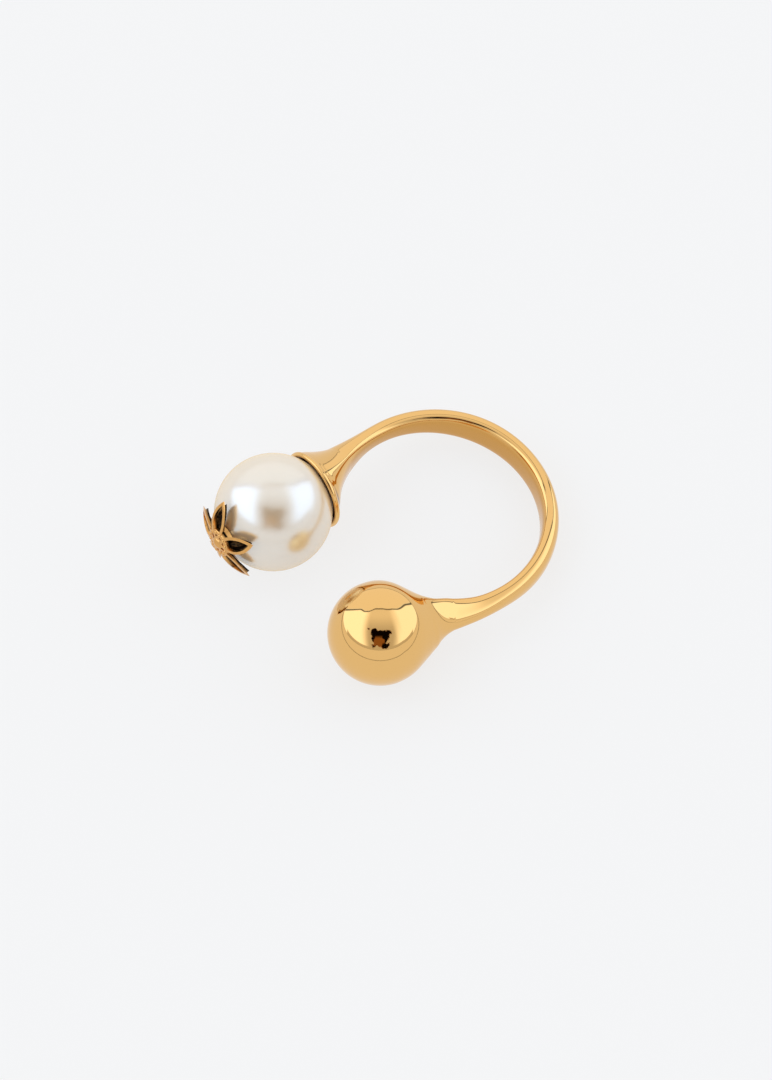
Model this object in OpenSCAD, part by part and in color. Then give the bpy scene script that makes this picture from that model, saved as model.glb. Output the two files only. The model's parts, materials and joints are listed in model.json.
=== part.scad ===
// Open cuff ring. One gold casting ends in a ball on one side and in a flared cup on the other.
// A pearl sits in the cup, threaded on a post, and a pierced leaf cap closes the post's far end.
// The ring lies on its side as it comes to rest by itself: the floor is z = 0, the opening faces -Y.

/* [Hoop] */
// Inside diameter of the hoop, where the finger goes
finger_d = 17.2; // [15:0.1:21]
// Thickness of the band at the back of the hoop
back_t = 1.5; // [1.2:0.05:2.2]
// Width of the band at the back of the hoop, along the finger
back_w = 3.05; // [2.4:0.05:5]
// Thickness of the arms where they are thinnest
neck_t = 1.5; // [1.2:0.05:2.2]
// Width of the arms where they are thinnest, along the finger
neck_w = 1.65; // [1.4:0.05:3]
// Squareness of the band's cross-section, where 2 is an ellipse
squareness = 2.4; // [2:0.1:4]
// How deep the finger bore planes into the rounded inner side of the band
bore_skim = 0.12; // [0.08:0.01:0.2]

/* [Arm of the pearl] */
// Angle from the back of the hoop to where this arm leaves the circle
pearl_arc = 123; // [110:1:128]
// Radius of this arm's turn outwards
pearl_turn_r = 7.1; // [5.5:0.1:10]
// Angle of this arm's turn outwards
pearl_turn = 26; // [18:1:32]
// Nearest that the pearl comes to the finger
pearl_clear = 0.7; // [0.3:0.05:1.5]

/* [Arm of the ball] */
// Angle from the back of the hoop to where this arm leaves the circle
ball_arc = 112.5; // [104:0.5:120]
// Radius of this arm's turn outwards
ball_turn_r = 7.4; // [5:0.1:10]
// Angle of this arm's turn outwards
ball_turn = 22; // [14:1:30]
// Nearest that the ball comes to the finger
ball_clear = 0.05; // [0.03:0.01:1]

/* [Ball] */
// Diameter of the ball
ball_d = 8.9; // [7.5:0.1:10.5]
// How far before the ball's centre the taper leaves the ball, away from the finger
leave_out = 1.9; // [0.8:0.1:3]
// The same on the side of the finger
leave_in = 1.6; // [0.8:0.1:3]
// The same along the finger
leave_side = 2.9; // [0.8:0.1:3.4]
// Length of the taper from the neck to the ball's centre, away from the finger
taper_out_l = 12.4; // [9:0.1:14]
// Length of the taper on the side of the finger
taper_in_l = 5.4; // [5:0.1:9]
// Length of the taper as seen along the hoop's edge
taper_side_l = 11.5; // [9:0.1:14]

/* [Cup] */
// Diameter of the cup over its lip
cup_d = 7.1; // [6:0.1:7.8]
// Thickness of the rounded lip
lip_t = 0.6; // [0.4:0.05:0.9]
// How far the lip stands out from the flare behind it
lip_step = 0.15; // [0.05:0.01:0.3]
// How far the front of the lip laps round the pearl
lip_lap = 0.05; // [0.03:0.01:0.07]
// Length of the flare behind the lip, away from the finger
flare_out_l = 7; // [5.5:0.1:10]
// Length of the flare on the side of the finger
flare_in_l = 4.6; // [3.6:0.1:7]
// Length of the flare as seen along the hoop's edge
flare_side_l = 9; // [6:0.1:11]
// How hollow the flare is away from the finger, where 0 bulges and 3 is most hollow
flare_out_hollow = 0.2; // [0:0.1:3]
// How hollow the flare is on the side of the finger
flare_in_hollow = 2.6; // [0:0.1:3]
// How hollow the flare is along the finger
flare_side_hollow = 1.8; // [0:0.1:3]

/* [Pearl and post] */
// Diameter of the pearl
pearl_d = 10; // [9:0.1:12]
// Diameter of the post that the pearl is threaded on
post_d = 1; // [0.7:0.05:1.4]
// Depth of the post's socket in the cup
post_seat = 1.4; // [1:0.1:2]
// Clearance between one piece and the next
fit_gap = 0.05; // [0.03:0.01:0.1]

/* [Leaf cap] */
// Number of pointed leaves
leaf_count = 5; // [4:1:6]
// Diameter over the tips of the leaves
cap_d = 7.6; // [6:0.1:8.4]
// Width of a leaf
leaf_w = 1.7; // [1.2:0.05:2.2]
// Width of the raised rim round a leaf
leaf_rim = 0.3; // [0.2:0.05:0.4]
// Thickness of the cap over its rims
cap_t = 0.85; // [0.7:0.05:1.1]
// Depth of the cells that are sunk into the leaves
cell_depth = 0.5; // [0.3:0.05:0.55]
// Diameter of the hub that joins the leaves
hub_d = 2.6; // [2.2:0.1:3.2]
// Diameter of the round boss on the hub
boss_d = 1.5; // [1.1:0.1:1.9]
// How far the boss stands out above the rims
boss_h = 0.2; // [0.1:0.05:0.5]
// Turn of the cap round the post
cap_roll = 60; // [0:1:72]

/* [Hidden] */
$fn = 96;

// Points round each cross-section
around = 24;
// Sections of each arm's arc, of the flare and of the taper, and how the flare's bunch up at the lip
hoop_steps = 12;
flare_steps = 14;
taper_steps = 16;
flare_bunch = 1.3;
// Degrees between sections of the lip and of the ball, and where on each they start and end
lip_turn = 20;
lip_last = 40;
ball_step = 12;
taper_last = 36;
// Shares of an arm's length between which it narrows from the back's size to the neck's
narrow_from = 0.15;
narrow_to = 0.75;

finger_r = finger_d / 2;
ball_r = ball_d / 2;
pearl_r = pearl_d / 2;
seat_r = pearl_r + fit_gap;
cup_r = cup_d / 2;
lip_r = lip_t / 2;
flare_r = cup_r - lip_step;
hoop_r = finger_r + (back_t - bore_skim) / 2;
socket_d = post_d + 2 * fit_gap;

// Distance from the pearl's centre to the front of the lip, so that the lip's front edge meets the seat
rim_x = sqrt(pow(seat_r, 2) - pow(cup_r - lip_r, 2)) - lip_lap;
flare_x = rim_x + lip_t;

// Each arm: its side of the ring, arc, turn radius, turn, and how far its end's centre lies from the hoop's
PEARL_ARM = [-1, pearl_arc, pearl_turn_r, pearl_turn, finger_r + pearl_r + pearl_clear];
BALL_ARM = [1, ball_arc, ball_turn_r, ball_turn, finger_r + ball_r + ball_clear];

function side_of(arm) = arm[0];
function arc_of(arm) = arm[1];
function turn_r_of(arm) = arm[2];
function turn_of(arm) = arm[3];
function reach_of(arm) = arm[4];

// The ring's plane is XY with the hoop's centre at the origin and its back towards +Y.
// A heading is the angle an arm has turned through since it left the back of the hoop.
function ahead(arm, heading) = [side_of(arm) * cos(heading), -sin(heading), 0];
function outward(arm, heading) = [side_of(arm) * sin(heading), cos(heading), 0];

function turn_centre(arm) = (hoop_r + turn_r_of(arm)) * outward(arm, arc_of(arm));
function end_heading(arm) = arc_of(arm) - turn_of(arm);
function turn_end(arm) = turn_centre(arm) - turn_r_of(arm) * outward(arm, end_heading(arm));

// Straight stretch from the end of the turn to the centre of the pearl or ball
function straight_l(arm) = let (q = turn_end(arm), b = q * ahead(arm, end_heading(arm)))
    sqrt(b * b - q * q + pow(reach_of(arm), 2)) - b;
function end_centre(arm) = turn_end(arm) + straight_l(arm) * ahead(arm, end_heading(arm));

function arc_l(arm) = hoop_r * arc_of(arm) * PI / 180;
function turn_l(arm) = turn_r_of(arm) * turn_of(arm) * PI / 180;
function arm_l(arm) = arc_l(arm) + turn_l(arm) + straight_l(arm);

// Heading and centre of the section that lies x before the end's centre, measured along the arm
function heading_at(arm, x) = let (s = arm_l(arm) - x)
    s < arc_l(arm) ? s / hoop_r * 180 / PI :
    max(end_heading(arm), arc_of(arm) - (s - arc_l(arm)) / turn_r_of(arm) * 180 / PI);
function centre_at(arm, x) = let (s = arm_l(arm) - x, heading = heading_at(arm, x))
    s < arc_l(arm) ? hoop_r * outward(arm, heading) :
    s < arc_l(arm) + turn_l(arm) ? turn_centre(arm) - turn_r_of(arm) * outward(arm, heading) :
    end_centre(arm) - x * ahead(arm, heading);

function ease(from, to, v) = let (u = min(1, max(0, (v - from) / (to - from)))) u * u * (3 - 2 * u);
function half_size(arm, x, back, neck) =
    (back + (neck - back) * ease(narrow_from, narrow_to, 1 - x / arm_l(arm))) / 2;

// Falls from 1 at the start of a length to 0 at its end, where it runs out level
function swell(u, hollow) = let (v = min(1, max(0, u))) pow(1 - v, 2) * (1 + (2 - hollow) * v);

// Half size of the flare behind the cup's lip
function flare(half, x, length, hollow) = half + (flare_r - half) * swell((x - flare_x) / length, hollow);

// Half size of the ball and its taper, which leaves the ball along the ball's own slope
function ball_half(x) = sqrt(ball_r * ball_r - x * x);
function taper(half, x, leave, length) = x <= leave ? ball_half(x) :
    let (full = ball_half(leave), slope = leave / full)
    half + (full - half) * swell((x - leave) / (length - leave),
        min(3, slope * (length - leave) / (full - half)));

// One cross-section: rounded, with its own half size outwards, inwards and along the finger
function section(arm, x, out, in, side, power) =
    let (c = centre_at(arm, x), n = outward(arm, heading_at(arm, x)))
    [for (i = [0 : around - 1])
        let (a = 360 * i / around, p = rounded(cos(a), power), q = rounded(sin(a), power))
        c + n * (p > 0 ? out : in) * p + [0, 0, side * q]];
function rounded(v, power) = sign(v) * pow(abs(v), 2 / power);
function power_at(from, to, x) = 2 + (squareness - 2) * ease(from, to, x);

function band_t(arm, x) = half_size(arm, x, back_t + bore_skim, neck_t);
function band_w(arm, x) = half_size(arm, x, back_w, neck_w);

function cup_section(x) = let (t = band_t(PEARL_ARM, x), w = band_w(PEARL_ARM, x))
    section(PEARL_ARM, x, flare(t, x, flare_out_l, flare_out_hollow),
        flare(t, x, flare_in_l, flare_in_hollow),
        flare(w, x, flare_side_l, flare_side_hollow), power_at(flare_x, flare_x + flare_side_l, x));
function ball_section(x) = let (t = band_t(BALL_ARM, x), w = band_w(BALL_ARM, x))
    section(BALL_ARM, x, taper(t, x, leave_out, taper_out_l), taper(t, x, leave_in, taper_in_l),
        taper(w, x, leave_side, taper_side_l), power_at(ball_r, taper_out_l, x));

// Distances before each end's centre at which the sections stand, and each lip section's own radius
lip_xs = [for (a = [180 : -lip_turn : lip_last])
    [rim_x + lip_r + lip_r * cos(a), cup_r - lip_r + lip_r * sin(a)]];
pearl_arc_x = arm_l(PEARL_ARM) - arc_l(PEARL_ARM);
ball_arc_x = arm_l(BALL_ARM) - arc_l(BALL_ARM);
taper_x = ball_r * cos(taper_last);
flare_xs = [for (i = [0 : flare_steps])
    flare_x + (pearl_arc_x - flare_x) * pow(i / flare_steps, flare_bunch)];
pearl_hoop_xs = [for (i = [1 : hoop_steps]) pearl_arc_x + arc_l(PEARL_ARM) * i / hoop_steps];
ball_hoop_xs = [for (i = [1 : hoop_steps]) arm_l(BALL_ARM) - arc_l(BALL_ARM) * i / hoop_steps];
taper_xs = [for (i = [1 : taper_steps]) ball_arc_x + (taper_x - ball_arc_x) * i / taper_steps];
ball_xs = [for (a = [taper_last + ball_step : ball_step : 180 - ball_step]) ball_r * cos(a)];

casting_rings = concat(
    [for (p = lip_xs) section(PEARL_ARM, p[0], p[1], p[1], p[1], 2)],
    [for (x = flare_xs) cup_section(x)],
    [for (x = pearl_hoop_xs) cup_section(x)],
    [for (x = ball_hoop_xs) ball_section(x)],
    [for (x = taper_xs) ball_section(x)],
    [for (x = ball_xs) ball_section(x)]);
casting_tip = end_centre(BALL_ARM) + ball_r * ahead(BALL_ARM, end_heading(BALL_ARM));
casting_points = concat([for (ring = casting_rings) each ring], [casting_tip]);

rings = len(casting_rings);
function on_ring(r, i) = r * around + i % around;
casting_faces = concat(
    [[for (i = [0 : around - 1]) i]],
    [for (r = [0 : rings - 2], i = [0 : around - 1]) each [
        [on_ring(r, i), on_ring(r + 1, i), on_ring(r + 1, i + 1)],
        [on_ring(r, i), on_ring(r + 1, i + 1), on_ring(r, i + 1)]]],
    [for (i = [0 : around - 1]) [on_ring(rings - 1, i), rings * around, on_ring(rings - 1, i + 1)]]);

// How the ring lies: the floor touches the pearl, the ball and the lower outer edge of the hoop's back.
// The floor's upward normal is found in the ring's own frame, going round until the contact stands still.
pearl_c = end_centre(PEARL_ARM);
ball_c = end_centre(BALL_ARM);
edge_power = squareness / (squareness - 1);
edge_t = (back_t + bore_skim) / 2;
edge_w = back_w / 2;
function edge_contact(n) = let (
    s = norm([n[0], n[1]]),
    h = pow(pow(edge_t * s, edge_power) + pow(edge_w * n[2], edge_power), 1 / edge_power),
    r = hoop_r + edge_t * pow(edge_t * s / h, edge_power - 1))
    [-r * n[0] / s, -r * n[1] / s, -edge_w * pow(edge_w * n[2] / h, edge_power - 1)];
function tangent_normal(q) = let (
    a = pearl_c - q, b = ball_c - q,
    d = (a * a) * (b * b) - pow(a * b, 2),
    u = (pearl_r * (b * b) - ball_r * (a * b)) / d,
    v = (ball_r * (a * a) - pearl_r * (a * b)) / d,
    flat = u * a + v * b,
    m = cross(b, a) / norm(cross(b, a)),
    up = m[2] < 0 ? -m : m)
    flat + up * sqrt(1 - flat * flat);
function settle(n, rounds) = rounds == 0 ? n : settle(tangent_normal(edge_contact(n)), rounds - 1);
first_n = [0, -0.15, 1];
settle_rounds = 6;
floor_n = settle(first_n, settle_rounds);
floor_d = floor_n * pearl_c - pearl_r;
tilt = acos(floor_n[2]);
tilt_axis = [floor_n[1], -floor_n[0], 0];

// The same turn as a formula, for the box of the ring as it lies, whose bottom centre is the origin
function laid(p) = [
    p[0] - floor_n[0] * (floor_n[0] * p[0] + floor_n[1] * p[1]) / (1 + floor_n[2]) - floor_n[0] * p[2],
    p[1] - floor_n[1] * (floor_n[0] * p[0] + floor_n[1] * p[1]) / (1 + floor_n[2]) - floor_n[1] * p[2]];
laid_band = [for (p = casting_points) laid(p)];
box_left = min(laid(pearl_c)[0] - pearl_r, min([for (p = laid_band) p[0]]));
box_right = max([for (p = laid_band) p[0]]);
box_front = min(laid(pearl_c)[1] - seat_r - cap_t - boss_h, min([for (p = laid_band) p[1]]));
box_back = max([for (p = laid_band) p[1]]);

// Carries the ring's own frame to the resting place
module as_it_lies() {
    translate([-(box_left + box_right) / 2, -(box_front + box_back) / 2, -floor_d])
        rotate(a = tilt, v = tilt_axis)
            children();
}

// Carries a Z axis through the pearl's centre to the post's line, with +Z away from the cup
module along_post() {
    way = ahead(PEARL_ARM, end_heading(PEARL_ARM));
    translate(pearl_c)
        rotate([0, 0, atan2(way[1], way[0])])
            rotate([0, 90, 0])
                children();
}

// Turns the seat so that its seam falls between two edges of the lip
seam_turn = 180 / around;

module finger_bore() {
    cylinder(r = finger_r, h = 4 * back_w, center = true);
}

// The casting: cup, hoop and ball in one piece, bored for the finger and sunk for the pearl
module band() {
    color("#d6a85a")
        as_it_lies()
            difference() {
                polyhedron(points = casting_points, faces = casting_faces, convexity = 6);
                finger_bore();
                along_post()
                    rotate([0, 0, seam_turn]) {
                        sphere(r = seat_r);
                        translate([0, 0, -seat_r - post_seat])
                            cylinder(d = socket_d, h = post_seat + pearl_r);
                    }
            }
}

// The pearl, drilled through for its post
module pearl() {
    color("#ece6dc")
        as_it_lies()
            along_post()
                difference() {
                    sphere(r = pearl_r);
                    cylinder(d = socket_d, h = 3 * pearl_r, center = true);
                }
}

post_bottom = -seat_r - post_seat + fit_gap;
post_top = seat_r + cap_t - cell_depth;

// The plain post that holds cup, pearl and cap together
module pearl_post() {
    color("#c9c0ae")
        as_it_lies()
            along_post()
                translate([0, 0, post_bottom])
                    cylinder(d = post_d, h = post_top - post_bottom);
}

cap_r = seat_r + cap_t;
leaf_root = hub_d / 8;
leaf_l = cap_d / 2 - leaf_root;
leaf_mid = cap_d / 2 - leaf_l / 2;
leaf_arc_r = (leaf_l * leaf_l + leaf_w * leaf_w) / (4 * leaf_w);
cell_root = hub_d / 2 - leaf_rim;

// A pointed leaf in plan, the overlap of two discs, drawn in by inset all round
module leaf_prism(inset) {
    intersection_for(side = [-1, 1])
        translate([leaf_mid, side * (leaf_arc_r - leaf_w / 2), 0])
            cylinder(r = leaf_arc_r - inset, h = 2 * cap_r);
}

// A round ball about the pearl's centre, its seam turned to lie between two leaves
module ball_between_leaves(r) {
    rotate([0, 0, 180 / leaf_count])
        sphere(r = r);
}

// All the leaves in plan, each drawn in by inset
module leaves(inset) {
    for (i = [0 : leaf_count - 1])
        rotate([0, 0, 360 * i / leaf_count])
            leaf_prism(inset);
}

// The round boss, with the poles of its ball turned down into the hub
module boss() {
    translate([0, 0, cap_r + boss_h - boss_d / 2])
        rotate([90, 0, 0])
            sphere(d = boss_d);
}

// The pierced cap: pointed leaves in a ring about a hub with a round boss, bored for the post
module end_cap() {
    color("#a8743a")
        as_it_lies()
            along_post()
                rotate([0, 0, cap_roll])
                    difference() {
                        union() {
                            intersection() {
                                ball_between_leaves(cap_r);
                                union() {
                                    leaves(0);
                                    cylinder(d = hub_d, h = 2 * cap_r);
                                }
                            }
                            boss();
                        }
                        ball_between_leaves(seat_r);
                        difference() {
                            leaves(leaf_rim);
                            ball_between_leaves(cap_r - cell_depth);
                            cylinder(r = cell_root, h = 2 * cap_r);
                        }
                        cylinder(d = socket_d, h = post_top + fit_gap);
                    }
}

band();
pearl();
pearl_post();
end_cap();
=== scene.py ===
import json
from math import atan2, cos, degrees, pi, radians, sin, sqrt

import bmesh
import bpy
from mathutils import Matrix, Vector


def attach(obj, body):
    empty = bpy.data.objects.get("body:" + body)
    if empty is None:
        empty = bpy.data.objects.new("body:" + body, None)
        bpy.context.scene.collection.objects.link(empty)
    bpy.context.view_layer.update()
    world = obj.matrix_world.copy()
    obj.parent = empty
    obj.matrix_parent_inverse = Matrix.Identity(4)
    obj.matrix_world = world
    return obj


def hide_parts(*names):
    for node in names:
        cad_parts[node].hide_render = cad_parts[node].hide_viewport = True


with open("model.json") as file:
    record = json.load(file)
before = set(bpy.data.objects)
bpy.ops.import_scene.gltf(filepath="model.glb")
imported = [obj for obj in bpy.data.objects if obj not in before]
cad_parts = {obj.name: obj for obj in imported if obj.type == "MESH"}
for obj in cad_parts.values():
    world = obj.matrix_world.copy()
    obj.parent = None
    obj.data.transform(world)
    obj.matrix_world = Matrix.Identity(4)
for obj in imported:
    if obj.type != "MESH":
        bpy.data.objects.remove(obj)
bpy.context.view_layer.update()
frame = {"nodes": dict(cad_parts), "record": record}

# The casting: hoop, two arms, solid ball and flared cup are one piece of brass, cast in a lost-wax
# mould, filed, polished to a mirror and gold plated. It is drawn in millimetres with the ring's plane
# as XY and the back of the hoop towards +Y, as a row of cross-sections from the cup to the ball.
# Thickness is measured from the finger outwards, and width along the finger.
FINGER_R = 8.6
BACK_T, BACK_W = 1.62, 3.05
NECK_T, NECK_W = 1.5, 1.65
SQUARENESS = 2.4
BORE_FLAT = 4
NARROW_FROM, NARROW_TO = 0.15, 0.75
HOOP_R = 9.29
BALL_R = 4.45
PEARL_R = 5.0
CUP_R, LIP_R, FLARE_R = 3.55, 0.23, 3.4
SEAT_R = 5.05
RIM_X, LIP_T = 3.81523, 0.6
FLARE_X = RIM_X + LIP_T
HOLE_R = 0.55
HOLE_DEPTH = 6.45
SPLITS = 24

# The flare's length and hollow, and where the taper leaves the ball and ends: away from the finger,
# towards it and sideways
FLARE_OUT, FLARE_IN, FLARE_SIDE = (7, 0.2), (4.6, 2.6), (9, 1.8)
TAPER_OUT, TAPER_IN, TAPER_SIDE = (1.9, 12.4), (1.6, 5.4), (2.9, 11.5)

# The cup from its bottom: the post's socket, the pearl's seat, the groove behind the lip, the lip's foot.
# The seat is drawn a hair deep, so that the smoothed skin stays off the pearl
SOCKET_FLOOR, SOCKET_X = (0.2, 0.5), (6.4, 5.9, 5.3)
SEAT_RINGS, SEAT_EASE = (0.6, 0.75, 1.3, 1.9, 2.4, 2.65), 0.01
GROOVE = ((4.27, 2.76), (4.42, 2.84), (4.47, 2.93), (4.38, 3.02))
LIP_BACK = 0.17
LIP_FOOT = ((0.01, 0.02), (0.03, 0))

# How many sections draw each stretch of the casting, and how they crowd towards the lip
FLARE_RINGS, HOOP_RINGS, TAPER_RINGS = 14, 12, 16
CROWDING = 1.3
BALL_STEP = 12

# Each arm: its side, the arc it follows round the finger, its turn outwards and how far its end reaches
PEARL_ARM = (-1, 123, 7.1, 26, FINGER_R + PEARL_R + 0.7)
BALL_ARM = (1, 112.5, 7.4, 22, FINGER_R + BALL_R + 0.05)


def ahead(arm, heading):
    return Vector((arm[0] * cos(radians(heading)), -sin(radians(heading)), 0))


def outward(arm, heading):
    return Vector((arm[0] * sin(radians(heading)), cos(radians(heading)), 0))


def arm_path(arm):
    """The turn's centre, the end's heading and centre, and the lengths of arc, turn and whole arm."""
    _, arc, turn_r, turn, reach = arm
    centre = (HOOP_R + turn_r) * outward(arm, arc)
    heading = arc - turn
    q = centre - turn_r * outward(arm, heading)
    b = q.dot(ahead(arm, heading))
    straight = sqrt(b * b - q.dot(q) + reach * reach) - b
    arc_l, turn_l = HOOP_R * radians(arc), turn_r * radians(turn)
    return centre, heading, q + straight * ahead(arm, heading), arc_l, turn_l, arc_l + turn_l + straight


def place_on(arm, x):
    """Heading and centre of the section x before the end's centre, measured along the arm."""
    _, arc, turn_r, _, _ = arm
    turn_centre, end_heading, end, arc_l, turn_l, length = arm_path(arm)
    s = length - x
    if s < arc_l:
        heading = degrees(s / HOOP_R)
        return heading, HOOP_R * outward(arm, heading)
    heading = max(end_heading, arc - degrees((s - arc_l) / turn_r))
    if s < arc_l + turn_l:
        return heading, turn_centre - turn_r * outward(arm, heading)
    return heading, end - x * ahead(arm, heading)


def ease(start, end, v):
    u = min(1, max(0, (v - start) / (end - start)))
    return u * u * (3 - 2 * u)


def narrowed(arm, x, back, neck):
    return (back + (neck - back) * ease(NARROW_FROM, NARROW_TO, 1 - x / arm_path(arm)[5])) / 2


def swell(u, hollow):
    v = min(1, max(0, u))
    return (1 - v) ** 2 * (1 + (2 - hollow) * v)


def flared(half, x, length, hollow):
    return half + (FLARE_R - half) * swell((x - FLARE_X) / length, hollow)


def tapered(half, x, leave, length):
    if x <= leave:
        return sqrt(BALL_R ** 2 - x * x)
    full = sqrt(BALL_R ** 2 - leave ** 2)
    hollow = min(3, leave / full * (length - leave) / (full - half))
    return half + (full - half) * swell((x - leave) / (length - leave), hollow)


def section(arm, x, out, inner, side, power):
    """One cross-section: centre, half sizes, turn about the hoop's axis and squareness, clear of the finger."""
    heading, centre = place_on(arm, x)
    reach = centre.dot(outward(arm, heading))
    short = reach ** 2 - centre.length_squared + FINGER_R ** 2
    if short > 0:
        inner = min(inner, reach - sqrt(short))
    return [centre.x, centre.y, out, inner, side, -arm[0] * heading, power]


def cup_section(x):
    t, w = narrowed(PEARL_ARM, x, BACK_T, NECK_T), narrowed(PEARL_ARM, x, BACK_W, NECK_W)
    return section(PEARL_ARM, x, flared(t, x, *FLARE_OUT), flared(t, x, *FLARE_IN), flared(w, x, *FLARE_SIDE),
                   2 + (SQUARENESS - 2) * ease(FLARE_X, FLARE_X + FLARE_SIDE[0], x))


def ball_section(x):
    t, w = narrowed(BALL_ARM, x, BACK_T, NECK_T), narrowed(BALL_ARM, x, BACK_W, NECK_W)
    return section(BALL_ARM, x, tapered(t, x, *TAPER_OUT), tapered(t, x, *TAPER_IN), tapered(w, x, *TAPER_SIDE),
                   2 + (SQUARENESS - 2) * ease(BALL_R, TAPER_OUT[1], x))


def round_section(x, r):
    return section(PEARL_ARM, x, r, r, r, 2)


_, pearl_heading, pearl_end, pearl_arc_l, _, pearl_arm_l = arm_path(PEARL_ARM)
_, ball_heading, ball_end, ball_arc_l, _, ball_arm_l = arm_path(BALL_ARM)
pearl_arc_x, ball_arc_x = pearl_arm_l - pearl_arc_l, ball_arm_l - ball_arc_l
taper_x = BALL_R * cos(radians(3 * BALL_STEP))
lip_x = FLARE_X - LIP_BACK
sections = (
    [round_section(HOLE_DEPTH, r) for r in SOCKET_FLOOR]
    + [round_section(x, HOLE_R) for x in SOCKET_X]
    + [round_section(sqrt(SEAT_R ** 2 - r * r) + SEAT_EASE, r) for r in SEAT_RINGS]
    + [round_section(x, r) for x, r in GROOVE]
    + [round_section(lip_x + LIP_R * cos(radians(a)), CUP_R - LIP_R + LIP_R * sin(radians(a)))
       for a in range(260, 30, -20)]
    + [round_section(FLARE_X + x, FLARE_R + r) for x, r in LIP_FOOT]
    + [cup_section(FLARE_X + (pearl_arc_x - FLARE_X) * (i / FLARE_RINGS) ** CROWDING)
       for i in range(1, FLARE_RINGS + 1)]
    + [cup_section(pearl_arc_x + pearl_arc_l * i / HOOP_RINGS) for i in range(1, HOOP_RINGS + 1)]
    + [ball_section(ball_arm_l - ball_arc_l * i / HOOP_RINGS) for i in range(1, HOOP_RINGS + 1)]
    + [ball_section(ball_arc_x + (taper_x - ball_arc_x) * i / TAPER_RINGS) for i in range(1, TAPER_RINGS + 1)]
    + [ball_section(BALL_R * cos(radians(a))) for a in range(4 * BALL_STEP, 169, BALL_STEP)])


def drawn_out(values, rounds=8):
    """Cage values whose smoothed surface passes through the given ones, nearer in each round."""
    cage = list(values)
    for _ in range(rounds):
        cage = [cage[0]] + [c + v - (a + 4 * c + b) / 6 for a, c, b, v
                            in zip(cage, cage[1:], cage[2:], values[1:])] + [cage[-1]]
    return cage


# Smoothing draws a ring of points in, so the cage is wider. How much of that is needed was measured
MEASURED = 0.9945
columns = list(zip(*sections))
round_gain = MEASURED * 3 / (2 + cos(2 * pi / SPLITS))
cage = zip(drawn_out(columns[0]), drawn_out(columns[1]),
           *[[v * round_gain for v in drawn_out(columns[k])] for k in (2, 3, 4)], columns[5], columns[6])


def start_piece(name):
    """An empty mesh object, alone in the selection and open for editing."""
    bpy.ops.object.select_all(action="DESELECT")
    piece = bpy.data.objects.new(name, bpy.data.meshes.new(name))
    bpy.context.collection.objects.link(piece)
    bpy.context.view_layer.objects.active = piece
    piece.select_set(True)
    bpy.ops.object.mode_set(mode="EDIT")
    bpy.ops.mesh.select_mode(type="VERT")
    return piece


def pick(test, last=0):
    """Selects the points whose place passes the test, among the last ones or among all."""
    bpy.ops.mesh.select_all(action="DESELECT")
    shape = bmesh.from_edit_mesh(bpy.context.object.data)
    shape.verts.ensure_lookup_table()
    for point in shape.verts[-last:]:
        point.select = bool(test(point.co))
    shape.select_flush(True)


def everything(place):
    return True


def join_rings(ring, count):
    """Bridges a ring of points to the one before it, or closes the first one."""
    if ring:
        pick(everything, 2 * count)
        bpy.ops.mesh.bridge_edge_loops()
    else:
        bpy.ops.mesh.edge_face_add()


def close_rings(count):
    """Closes the last ring of points."""
    pick(everything, count)
    bpy.ops.mesh.edge_face_add()


def face_outwards():
    bpy.ops.mesh.select_all(action="SELECT")
    bpy.ops.mesh.normals_make_consistent(inside=False)


def lay_down(piece, line=Matrix.Identity(4)):
    """Carries a piece drawn in millimetres to where the ring lies."""
    bpy.ops.object.mode_set(mode="OBJECT")
    piece.matrix_world = laid @ line
    bpy.ops.object.transform_apply(location=True, rotation=True, scale=True)


def at_corner(point, corner):
    angle = degrees(atan2(abs(point.z), abs(point.y)))
    return abs(min(angle, 90 - angle) - corner) < 1


opening = next(m for m in frame["record"]["mounts"] if m["name"] == "finger_opening")
laid = (Matrix.Translation(opening["pos_m"])
        @ Vector((0, 0, 1)).rotation_difference(Vector(opening["axis"])).to_matrix().to_4x4()
        @ Matrix.Scale(0.001, 4))

NEAR = 0.01
band = start_piece("band_casting")
for ring, (x, y, out, inner, side, turn, power) in enumerate(cage):
    bpy.ops.mesh.primitive_circle_add(vertices=SPLITS, radius=1, rotation=(0, pi / 2, 0))
    for face, square in ((1, power), (-1, 2 + BORE_FLAT * (power - 2))) if power > 2 else ():
        for corner in (15, 30, 45):
            pick(lambda p: p.y * face > NEAR and at_corner(p, corner), SPLITS)
            grow = (cos(radians(corner)) ** square + sin(radians(corner)) ** square) ** (-1 / square)
            bpy.ops.transform.resize(value=(grow, grow, grow), center_override=(0, 0, 0))
    pick(lambda p: p.y > NEAR, SPLITS)
    bpy.ops.transform.resize(value=(1, out, 1), center_override=(0, 0, 0))
    pick(lambda p: p.y < -NEAR, SPLITS)
    bpy.ops.transform.resize(value=(1, inner, 1), center_override=(0, 0, 0))
    pick(everything, SPLITS)
    bpy.ops.transform.resize(value=(1, 1, side), center_override=(0, 0, 0))
    bpy.ops.transform.rotate(value=-radians(turn), orient_axis="Z", center_override=(0, 0, 0))
    bpy.ops.transform.translate(value=(x, y, 0))
    join_rings(ring, SPLITS)
close_rings(SPLITS)
face_outwards()
bpy.ops.object.mode_set(mode="OBJECT")
rounding = band.modifiers.new("rounding", "SUBSURF")
rounding.levels = rounding.render_levels = 2
bpy.ops.object.modifier_apply(modifier="rounding")

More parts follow.
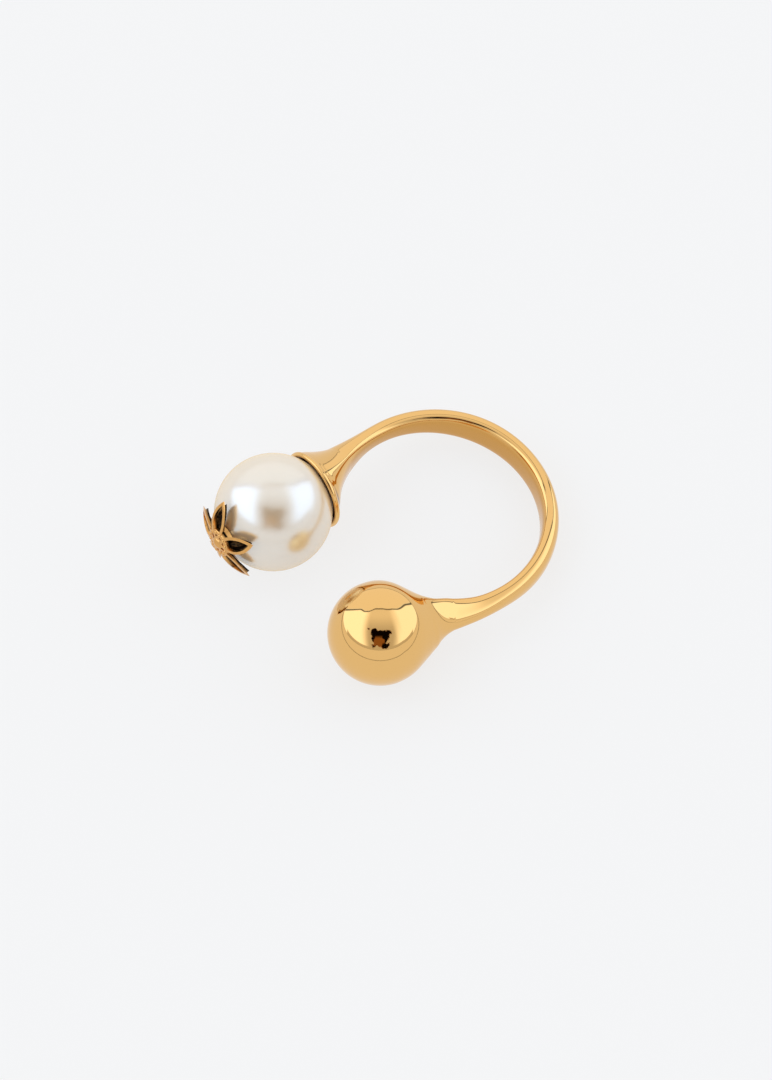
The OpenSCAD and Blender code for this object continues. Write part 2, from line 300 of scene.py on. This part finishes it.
# The arms are smoothed with emery paper, away from ball and cup, and the far half of the ball is drawn
# to a true sphere, a hair inside the solid's box
BALL_KEEP_R, CUP_KEEP_R = BALL_R + 0.2, 5.75
HAIR = 0.013
bpy.ops.object.mode_set(mode="EDIT")
pick(lambda p: (p - ball_end).length > BALL_KEEP_R and (p - pearl_end).length > CUP_KEEP_R)
bpy.ops.mesh.vertices_smooth(factor=0.5, repeat=8)
pick(lambda p: (p - ball_end).dot(ahead(BALL_ARM, ball_heading)) > 0)
bpy.ops.transform.tosphere(value=1, center_override=ball_end)
drawn_r = next((p.co - ball_end).length for p in bmesh.from_edit_mesh(band.data).verts if p.select)
bpy.ops.transform.resize(value=((BALL_R - HAIR) / drawn_r,) * 3, center_override=ball_end)
lay_down(band)
bpy.ops.object.shade_smooth_by_angle(angle=radians(40))


def linear(hex_colour):
    """An sRGB hex colour as the linear RGBA that a node socket takes."""
    parts = [int(hex_colour[i:i + 2], 16) / 255 for i in (1, 3, 5)]
    return tuple(c / 12.92 if c <= 0.04045 else ((c + 0.055) / 1.055) ** 2.4 for c in parts) + (1,)


def add_node(tree, kind, inputs=(), output=0, **settings):
    """Adds a node with its settings and returns one of its outputs. The inputs are given by name or in
    order, and one that is given another node's output is linked to it."""
    node = tree.nodes.new("ShaderNode" + kind)
    for name, value in settings.items():
        setattr(node, name, value)
    for key, value in inputs.items() if isinstance(inputs, dict) else enumerate(inputs):
        if isinstance(value, bpy.types.NodeSocket):
            tree.links.new(value, node.inputs[key])
        else:
            node.inputs[key].default_value = value
    return node.outputs[output]


def start_material(name):
    """A material with an empty tree but for its Principled shader and its output."""
    material = bpy.data.materials.new(name)
    material.use_nodes = True
    return material, material.node_tree, material.node_tree.nodes["Principled BSDF"]


MM = 0.001

# Mirror-polished yellow gold plate on brass: sharp reflections, slightly uneven from hand filing.
# Its hairlines are about 0.01 mm apart, too fine to show, so they are drawn 0.12 mm apart
gold, tree, shader = start_material("polished_gold_plate")
place = add_node(tree, "TexCoord", output="Object")
waves = add_node(tree, "TexNoise", {"Vector": place, "Scale": 1 / (3 * MM), "Detail": 1.0})
hairlines = add_node(tree, "TexNoise", {"Vector": place, "Scale": 1 / (0.12 * MM), "Detail": 3.0})
wavy = add_node(tree, "Bump", {"Height": waves, "Strength": 0.5, "Distance": 0.006 * MM})
fine = add_node(tree, "Bump", {"Height": hairlines, "Normal": wavy, "Strength": 0.2, "Distance": 0.001 * MM})

# The bore was rubbed round on a mandrel: satin, with fine lines along the hoop, which are drawn 0.12 mm
# apart too. Its darker, warmer colour is painted shade, standing for the hoop's dim reflection of itself
from_axis = add_node(tree, "VectorMath", (place, laid.translation), operation="SUBTRACT")
beside = add_node(tree, "VectorMath", (from_axis, opening["axis"]), operation="CROSS_PRODUCT")
radius = add_node(tree, "VectorMath", (beside,), "Value", operation="LENGTH")
across_hoop = add_node(tree, "VectorMath", (from_axis, opening["axis"]), "Value", operation="DOT_PRODUCT")
bore = add_node(tree, "MapRange", (radius, 8.8 * MM, 8.64 * MM))
rows = add_node(tree, "TexNoise", {"W": across_hoop, "Scale": 1 / (0.12 * MM), "Detail": 3.0},
                noise_dimensions="1D")
lined = add_node(tree, "Math", (rows, bore), operation="MULTIPLY")
scored = add_node(tree, "Bump", {"Height": lined, "Normal": fine, "Strength": 0.3, "Distance": 0.004 * MM})
worn = add_node(tree, "MapRange", (waves, 0.3, 0.7, 0.03, 0.05))
satin = add_node(tree, "Math", (bore, 0.1, worn), operation="MULTIPLY_ADD")
# Painted shade: the bore is a darker, warmer gold than the outside
colour = add_node(tree, "Mix", {"Factor": bore, 6: linear("#EABC77"), 7: linear("#D09C54")}, 2,
                  data_type="RGBA")

# The bottom of the cup, behind the lip, is dark brown: partly residue that the polishing wheel can't reach,
# partly painted shade in the deep groove
pearl_centre = laid @ pearl_end
pearl_way = (laid.to_3x3() @ ahead(PEARL_ARM, pearl_heading)).normalized()
off_pearl = add_node(tree, "VectorMath", (place, pearl_centre), operation="SUBTRACT")
far_off = add_node(tree, "VectorMath", (off_pearl,), "Value", operation="LENGTH")
off_line = add_node(tree, "VectorMath", (off_pearl, pearl_way), operation="CROSS_PRODUCT")
wide_off = add_node(tree, "VectorMath", (off_line,), "Value", operation="LENGTH")
in_cup = add_node(tree, "MapRange", (far_off, 5.7 * MM, 5.6 * MM))
deep = add_node(tree, "MapRange", (wide_off, 3.2 * MM, 3.08 * MM))
residue_and_shade = add_node(tree, "Math", (in_cup, deep), operation="MULTIPLY")
# Painted shade and residue: dark brown in the groove behind the lip
colour = add_node(tree, "Mix", {"Factor": residue_and_shade, 6: colour, 7: linear("#5A3413")}, 2, data_type="RGBA")
tree.links.new(scored, shader.inputs["Normal"])
tree.links.new(satin, shader.inputs["Roughness"])
tree.links.new(colour, shader.inputs["Base Color"])
shader.inputs["Metallic"].default_value = 1.0
band.data.materials.append(gold)
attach(band, "root")
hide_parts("band")

# The pearl: a glass or shell bead with a pearl coating, drilled right through for its post.
# Its many thin layers reflect almost half of the light, softly, over a warm cream body.
PEARL_RINGS = 72
POLE_R, RING_R = 0.35, 0.5
way = ahead(PEARL_ARM, pearl_heading)
post_line = (Matrix.Translation(pearl_end) @ Matrix.Rotation(atan2(way.y, way.x), 4, "Z")
             @ Matrix.Rotation(pi / 2, 4, "Y"))


def off_post(point):
    return sqrt(point.x ** 2 + point.y ** 2)


pearl = start_piece("pearl_bead")
bpy.ops.mesh.primitive_uv_sphere_add(segments=96, ring_count=PEARL_RINGS, radius=PEARL_R)
# The pole and the ring next to it go, and the second ring is widened to the hole's edge
widen = HOLE_R / (PEARL_R * sin(radians(2 * 180 / PEARL_RINGS)))
for end in (1, -1):
    pick(lambda p: p.z * end > 0 and off_post(p) < POLE_R)
    bpy.ops.mesh.delete(type="VERT")
    pick(lambda p: p.z * end > 0 and off_post(p) < RING_R)
    bpy.ops.transform.resize(value=(widen, widen, 1), center_override=(0, 0, 0))
pick(lambda p: off_post(p) < HOLE_R + NEAR)
bpy.ops.mesh.bridge_edge_loops()
face_outwards()
lay_down(pearl, post_line)
bpy.ops.object.shade_smooth_by_angle(angle=radians(40))

# The coating's grain is about 0.05 mm, too fine to show, so it is drawn 0.25 mm wide
nacre, tree, shader = start_material("pearl_coating")
place = add_node(tree, "TexCoord", output="Object")
clouds = add_node(tree, "TexNoise", {"Vector": place, "Scale": 1 / (4 * MM), "Detail": 2.0})
cream = add_node(tree, "Mix", {"Factor": clouds, 6: linear("#F4CD9D"), 7: linear("#F8D4A9")}, 2,
                 data_type="RGBA")
grain = add_node(tree, "TexNoise", {"Vector": place, "Scale": 1 / (0.25 * MM), "Detail": 2.0})
skin = add_node(tree, "Bump", {"Height": grain, "Strength": 0.3, "Distance": 0.001 * MM})
tree.links.new(cream, shader.inputs["Base Color"])
tree.links.new(skin, shader.inputs["Normal"])
shader.inputs["Roughness"].default_value = 0.25
shader.inputs["IOR"].default_value = 6.2
shader.inputs["Specular Tint"].default_value = (0.75, 0.893, 0.98, 1)
shader.inputs["Sheen Weight"].default_value = 0.7
shader.inputs["Sheen Roughness"].default_value = 0.4
shader.inputs["Sheen Tint"].default_value = (1.0, 0.76, 0.42, 1)
pearl.data.materials.append(nacre)
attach(pearl, "root")
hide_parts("pearl")

# The post: a plain brass wire, cemented into the cup, that runs through the pearl and the cap.
# It is drawn wire, with faint marks of the die, finer than shows, so they are drawn 0.1 mm apart.
# The CAD solid already has its shape.
wire, tree, shader = start_material("drawn_brass_wire")
place = add_node(tree, "TexCoord", output="Object")
drawn = add_node(tree, "TexNoise", {"Vector": place, "Scale": 1 / (0.1 * MM), "Detail": 2.0})
marks = add_node(tree, "Bump", {"Height": drawn, "Strength": 0.3, "Distance": 0.003 * MM})
tree.links.new(marks, shader.inputs["Normal"])
shader.inputs["Base Color"].default_value = linear("#D8BE86")
shader.inputs["Metallic"].default_value = 1.0
shader.inputs["Roughness"].default_value = 0.3
for slot in frame["nodes"]["pearl_post"].material_slots:
    slot.material = wire

# The cap: five pointed leaves round a beaded hub, cast in brass, gold plated and then darkened.
# The dark finish was rubbed off again where the relief stands out, and stays black in its cells.
CAP_R = 5.9
CAP_SEAT_R = SEAT_R + 0.02
CAP_TIP = 3.8
CAP_ROLL = 60
LEAVES = 5
LEAF_POINTS = 28
LEAF_ROOT = 0.325
LEAF_W = 1.7
LEAF_RIM = 0.28
CELL_R = CAP_R - 0.42
BEVEL = 0.04
TINY = 0.001

# A leaf from its underside: how far each outline is drawn in, and its ball about the pearl's centre
LEAF_OUTLINES = ((0, CAP_SEAT_R), (0, CAP_R), (LEAF_RIM, CAP_R), (LEAF_RIM + 0.04, CELL_R), (0.58, CELL_R),
                 (0.66, CAP_R - 0.3))

# The hub: a flat disc with a groove and a round knob, as radius and height above the pearl's centre
HUB_POINTS = 48
HUB_R = 1.3
KNOB_R, KNOB_Z = 0.75, 5.35
HUB_PROFILE = [(0.2, 5.45), (HOLE_R, 5.45), (HOLE_R, CAP_SEAT_R), (HUB_R, sqrt(CAP_SEAT_R ** 2 - HUB_R ** 2)),
               (HUB_R, 5.68), (HUB_R - 0.06, 5.76), (HUB_R - 0.18, 5.8), (0.9, 5.8), (0.78, 5.74),
               (0.74, 5.45), (0.74, 5.4)] + [
               (KNOB_R * cos(radians(a)), KNOB_Z + KNOB_R * sin(radians(a))) for a in range(12, 88, 12)]
BEADS, BEAD_R, BEADS_R, BEADS_Z = 12, 0.2, 1.04, 5.69

leaf_l = CAP_TIP - LEAF_ROOT
leaf_arc = (leaf_l ** 2 + LEAF_W ** 2) / (4 * LEAF_W)
leaf_off = leaf_arc - LEAF_W / 2


def leaf_outline(inset, level):
    """A pointed outline drawn in by inset, lying on the ball of radius level about the pearl's centre."""
    reach = sqrt((leaf_arc - inset) ** 2 - leaf_off ** 2)
    bpy.ops.mesh.primitive_circle_add(vertices=LEAF_POINTS, radius=1)
    for step in range(LEAF_POINTS // 2 + 1):
        u, v = cos(2 * pi * step / LEAF_POINTS), sin(2 * pi * step / LEAF_POINTS)
        half = sqrt((leaf_arc - inset) ** 2 - (u * reach) ** 2) - leaf_off
        x = (CAP_TIP + LEAF_ROOT) / 2 + u * reach
        pick(lambda p: abs(p.x - u) < TINY and p.z < 1, LEAF_POINTS)
        bpy.ops.transform.resize(value=(1, half / v if v > TINY else 1, 1), center_override=(0, 0, 0))
        bpy.ops.transform.translate(value=(x - u, 0, sqrt(level ** 2 - x * x - half * half)))


leaf = start_piece("cap_leaf")
for ring, (inset, level) in enumerate(LEAF_OUTLINES):
    leaf_outline(inset, level)
    join_rings(ring, LEAF_POINTS)
close_rings(LEAF_POINTS)
face_outwards()
bpy.ops.object.mode_set(mode="OBJECT")
edges = leaf.modifiers.new("edges", "BEVEL")
edges.width = BEVEL
edges.segments = 2
edges.angle_limit = radians(35)
bpy.ops.object.modifier_apply(modifier="edges")

parts = [leaf]
for i in range(1, LEAVES):
    copy = leaf.copy()
    copy.data = leaf.data.copy()
    bpy.context.collection.objects.link(copy)
    copy.matrix_world = Matrix.Rotation(2 * pi * i / LEAVES, 4, "Z")
    parts.append(copy)

hub = start_piece("cap_hub")
for ring, (r, z) in enumerate(HUB_PROFILE):
    bpy.ops.mesh.primitive_circle_add(vertices=HUB_POINTS, radius=r, location=(0, 0, z))
    join_rings(ring, HUB_POINTS)
close_rings(HUB_POINTS)
for i in range(BEADS):
    a = 2 * pi * i / BEADS
    bpy.ops.mesh.primitive_uv_sphere_add(segments=16, ring_count=10, radius=BEAD_R,
                                         location=(BEADS_R * cos(a), BEADS_R * sin(a), BEADS_Z))
face_outwards()
bpy.ops.object.mode_set(mode="OBJECT")
parts.append(hub)
bpy.ops.object.select_all(action="DESELECT")
for part in parts:
    part.select_set(True)
bpy.context.view_layer.objects.active = leaf
bpy.ops.object.join()
cap = bpy.context.view_layer.objects.active
cap.name = cap.data.name = "leaf_cap"
lay_down(cap, post_line @ Matrix.Rotation(radians(CAP_ROLL), 4, "Z"))
bpy.ops.object.shade_smooth_by_angle(angle=radians(35))

# The relief shows gold from 0.32 mm under the leaves' rims, and the grime lies in 0.4 mm patches
antique, tree, shader = start_material("darkened_gold_plate")
place = add_node(tree, "TexCoord", output="Object")
off_centre = add_node(tree, "VectorMath", (place, pearl_centre), "Value", operation="DISTANCE")
grime = add_node(tree, "TexNoise", {"Vector": place, "Scale": 1 / (0.4 * MM), "Detail": 4.0})
relief = add_node(tree, "MapRange", (off_centre, (CAP_R - 0.32) * MM, (CAP_R - 0.1) * MM))
uneven = add_node(tree, "Math", (grime, -0.5), operation="ADD")
rubbed = add_node(tree, "Math", (uneven, 0.6, relief), operation="MULTIPLY_ADD", use_clamp=True)

# The walls under the cells were wiped too, though less
foot = add_node(tree, "MapRange", (off_centre, 5.47 * MM, 5.4 * MM, 0.0, 0.85))
wiped = add_node(tree, "Math", (rubbed, foot), operation="MAXIMUM")
tone = add_node(tree, "Mix", {"Factor": wiped, 6: linear("#140B05"), 7: linear("#DDA763")}, 2, data_type="RGBA")
dull = add_node(tree, "MapRange", (wiped, 0.0, 1.0, 0.45, 0.14))
pitted = add_node(tree, "Bump", {"Height": grime, "Strength": 0.4, "Distance": 0.01 * MM})
tree.links.new(tone, shader.inputs["Base Color"])
tree.links.new(dull, shader.inputs["Roughness"])
tree.links.new(pitted, shader.inputs["Normal"])
shader.inputs["Metallic"].default_value = 1.0
cap.data.materials.append(antique)
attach(cap, "root")
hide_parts("end_cap")

# The table: one sheet of matt white board that the ring lies on.
# Its tooth is about 0.1 mm, too fine to show, and is drawn 0.3 mm wide. It is lit evenly, nearly white.
bpy.ops.object.select_all(action="DESELECT")
bpy.ops.mesh.primitive_plane_add(size=3)
table = bpy.context.active_object
table.name = "table"
board, tree, shader = start_material("matt_white_board")
place = add_node(tree, "TexCoord", output="Object")
tooth = add_node(tree, "TexNoise", {"Vector": place, "Scale": 1 / (0.3 * MM), "Detail": 2.0})
rough = add_node(tree, "Bump", {"Height": tooth, "Strength": 0.1, "Distance": 0.005 * MM})
tree.links.new(rough, shader.inputs["Normal"])
shader.inputs["Base Color"].default_value = (0.175, 0.175, 0.175, 1)
shader.inputs["Roughness"].default_value = 0.9
shader.inputs["Specular IOR Level"].default_value = 0.0
shader.inputs["Emission Color"].default_value = (1, 1, 1, 1)
shader.inputs["Emission Strength"].default_value = 0.742
table.data.materials.append(board)

# The camera: a long lens close to the table's normal, at the angle that the photograph shows.
AZIMUTH, ELEVATION = radians(61.065), radians(62.69)
DISTANCE = 0.6
AIM_LEFT, AIM_DOWN = 4.628, 2.197
right = Vector((cos(AZIMUTH), sin(AZIMUTH), 0))
flat = Vector((-sin(AZIMUTH), cos(AZIMUTH), 0))
look = flat * cos(ELEVATION) - Vector((0, 0, sin(ELEVATION)))
up = flat * sin(ELEVATION) + Vector((0, 0, cos(ELEVATION)))
middle = Vector((-0.6665, 4.4208, 3.0)) * MM
aim = middle - right * AIM_LEFT * MM - up * AIM_DOWN * MM
lens = bpy.data.cameras.new("camera")
lens.lens = 236.5
lens.sensor_width = 36
camera = bpy.data.objects.new("camera", lens)
bpy.context.collection.objects.link(camera)
turn_to = Matrix((right, up, -look)).transposed().to_4x4()
camera.matrix_world = Matrix.Translation(aim - look * DISTANCE) @ turn_to
bpy.context.scene.camera = camera

# The light: a white tent with two large softboxes, left and right of the lens, a bright back wall
# and a dimmer gap between them where the lens looks in. It turns with the camera, and its angles are
# in degrees, to the right of the camera's back and above it.
WHITE = 0.905
world = bpy.data.worlds.new("white_tent")
world.use_nodes = True
bpy.context.scene.world = world
tree = world.node_tree
background = tree.nodes["Background"]
direction = add_node(tree, "TexCoord", output="Generated")


def within(*edges):
    """How far a ray is inside a part of the tent. An edge is a measure, where it starts and is full."""
    inside = 1.0
    for value, start, full in edges:
        rise = add_node(tree, "MapRange", (value, start, full), interpolation_type="SMOOTHSTEP")
        inside = add_node(tree, "Math", (inside, rise), operation="MULTIPLY")
    return inside


def strip(value, low, high, soft):
    """The two edges of a strip, equally soft."""
    return (value, low - soft, low + soft), (value, high + soft, high - soft)


def painted(light, *layers):
    """The light with each layer's own level laid over it, as far as a ray is inside the layer."""
    for inside, own in layers:
        light = add_node(tree, "Mix", {"Factor": inside, 2: light, 3: own}, data_type="FLOAT")
    return light


# How directly a ray looks each way: the camera's right, back and up, the tent's rim and the wall's hem
across, behind, above, rim, hem = [
    add_node(tree, "VectorMath", (direction, way), "Value", operation="DOT_PRODUCT")
    for way in (right, -look, up, 0.686 * up - 0.727 * look, 0.947 * up + 0.32 * look)]
yaw = add_node(tree, "Math", (across, behind), operation="ARCTAN2")
yaw = add_node(tree, "Math", (yaw,), operation="DEGREES")
pitch = add_node(tree, "Math", (above,), operation="ARCSINE")
pitch = add_node(tree, "Math", (pitch,), operation="DEGREES")

# Between the softboxes the room dims towards the lens
gap = painted(0.72, (within((pitch, 2, 42)), 1.1))
light = painted(1.03, (within((rim, 0.165, 0.19)), gap))

# The back wall hangs above the room, with a dark hem that dips and rises
dip = within(*strip(yaw, -52, -24, 10))
lift = within((yaw, 50, 95))
hem = add_node(tree, "Math", (dip, 0.08, hem), operation="MULTIPLY_ADD")
hem = add_node(tree, "Math", (lift, -0.13, hem), operation="MULTIPLY_ADD")
wall = within((hem, 0.6, 0.63))

# The softboxes stand on the rim, reach lower at their far sides, and end under the wall
side = add_node(tree, "Math", (yaw,), operation="ABSOLUTE")
low_side = within((side, 75, 78), (rim, 0.155, 0.17))
boxes = add_node(tree, "Math", (within((rim, 0.23, 0.26)), low_side), operation="MAXIMUM")
boxes = painted(boxes, (wall, 0.0))
left_box, right_box = [
    add_node(tree, "Math", (boxes, within(*edges)), operation="MULTIPLY")
    for edges in (((yaw, -114, -111), (yaw, -22, -44)), ((yaw, 116, 113), (yaw, 26, 52)))]
light = painted(light, (left_box, 1.9), (right_box, 1.75))

# The horizon of the tent is a thin dark line, and under the table it is dim
horizon = painted(1.0, (within(*strip(rim, 0.158, 0.172, 0.01)), 0.4))
light = add_node(tree, "Math", (light, horizon), operation="MULTIPLY")
light = painted(light, (within(*strip(hem, 0.565, 0.606, 0.014)), 0.22), (wall, 1.18))
height = add_node(tree, "SeparateXYZ", (direction,), "Z")
above_table = painted(0.35, (within((height, 0.0, 0.04)), 1.0))
light = add_node(tree, "Math", (light, above_table), operation="MULTIPLY")

# The lens and its stand, brown and black. Their outline is ragged, drawn in general form only
noise = add_node(tree, "TexNoise", {"Vector": direction, "Scale": 5.0, "Detail": 3.0})
ragged = add_node(tree, "MapRange", (noise, 0.0, 1.0, degrees(-0.35), degrees(0.35)))
yaw_out, yaw_in, pitch_in = [
    add_node(tree, "Math", (value, ragged), operation=operation)
    for value, operation in ((yaw, "ADD"), (yaw, "SUBTRACT"), (pitch, "SUBTRACT"))]
lens_part = within(*strip(yaw_out, -19, 21, 1.5), *strip(pitch_in, -33, 8, 1.5))
brown = within(*strip(yaw_in, -14, 4, 3), *strip(pitch, -40, -8, 4))
light = painted(light, (lens_part, painted(0.004, (brown, 0.33))))

# The softboxes are a little bluer than the tent
hue = (1, 1, 1, 1)
either_box = add_node(tree, "Math", (left_box, right_box), operation="MAXIMUM")
for inside, own in ((either_box, (0.9, 1.0, 1.15, 1)), (lens_part, (1, 0.42, 0.12, 1))):
    hue = add_node(tree, "Mix", {"Factor": inside, 6: hue, 7: own}, 2, data_type="RGBA")
strength = add_node(tree, "Math", (light, WHITE), operation="MULTIPLY")
tree.links.new(hue, background.inputs["Color"])
tree.links.new(strength, background.inputs["Strength"])
bpy.context.scene.view_settings.view_transform = "Standard"
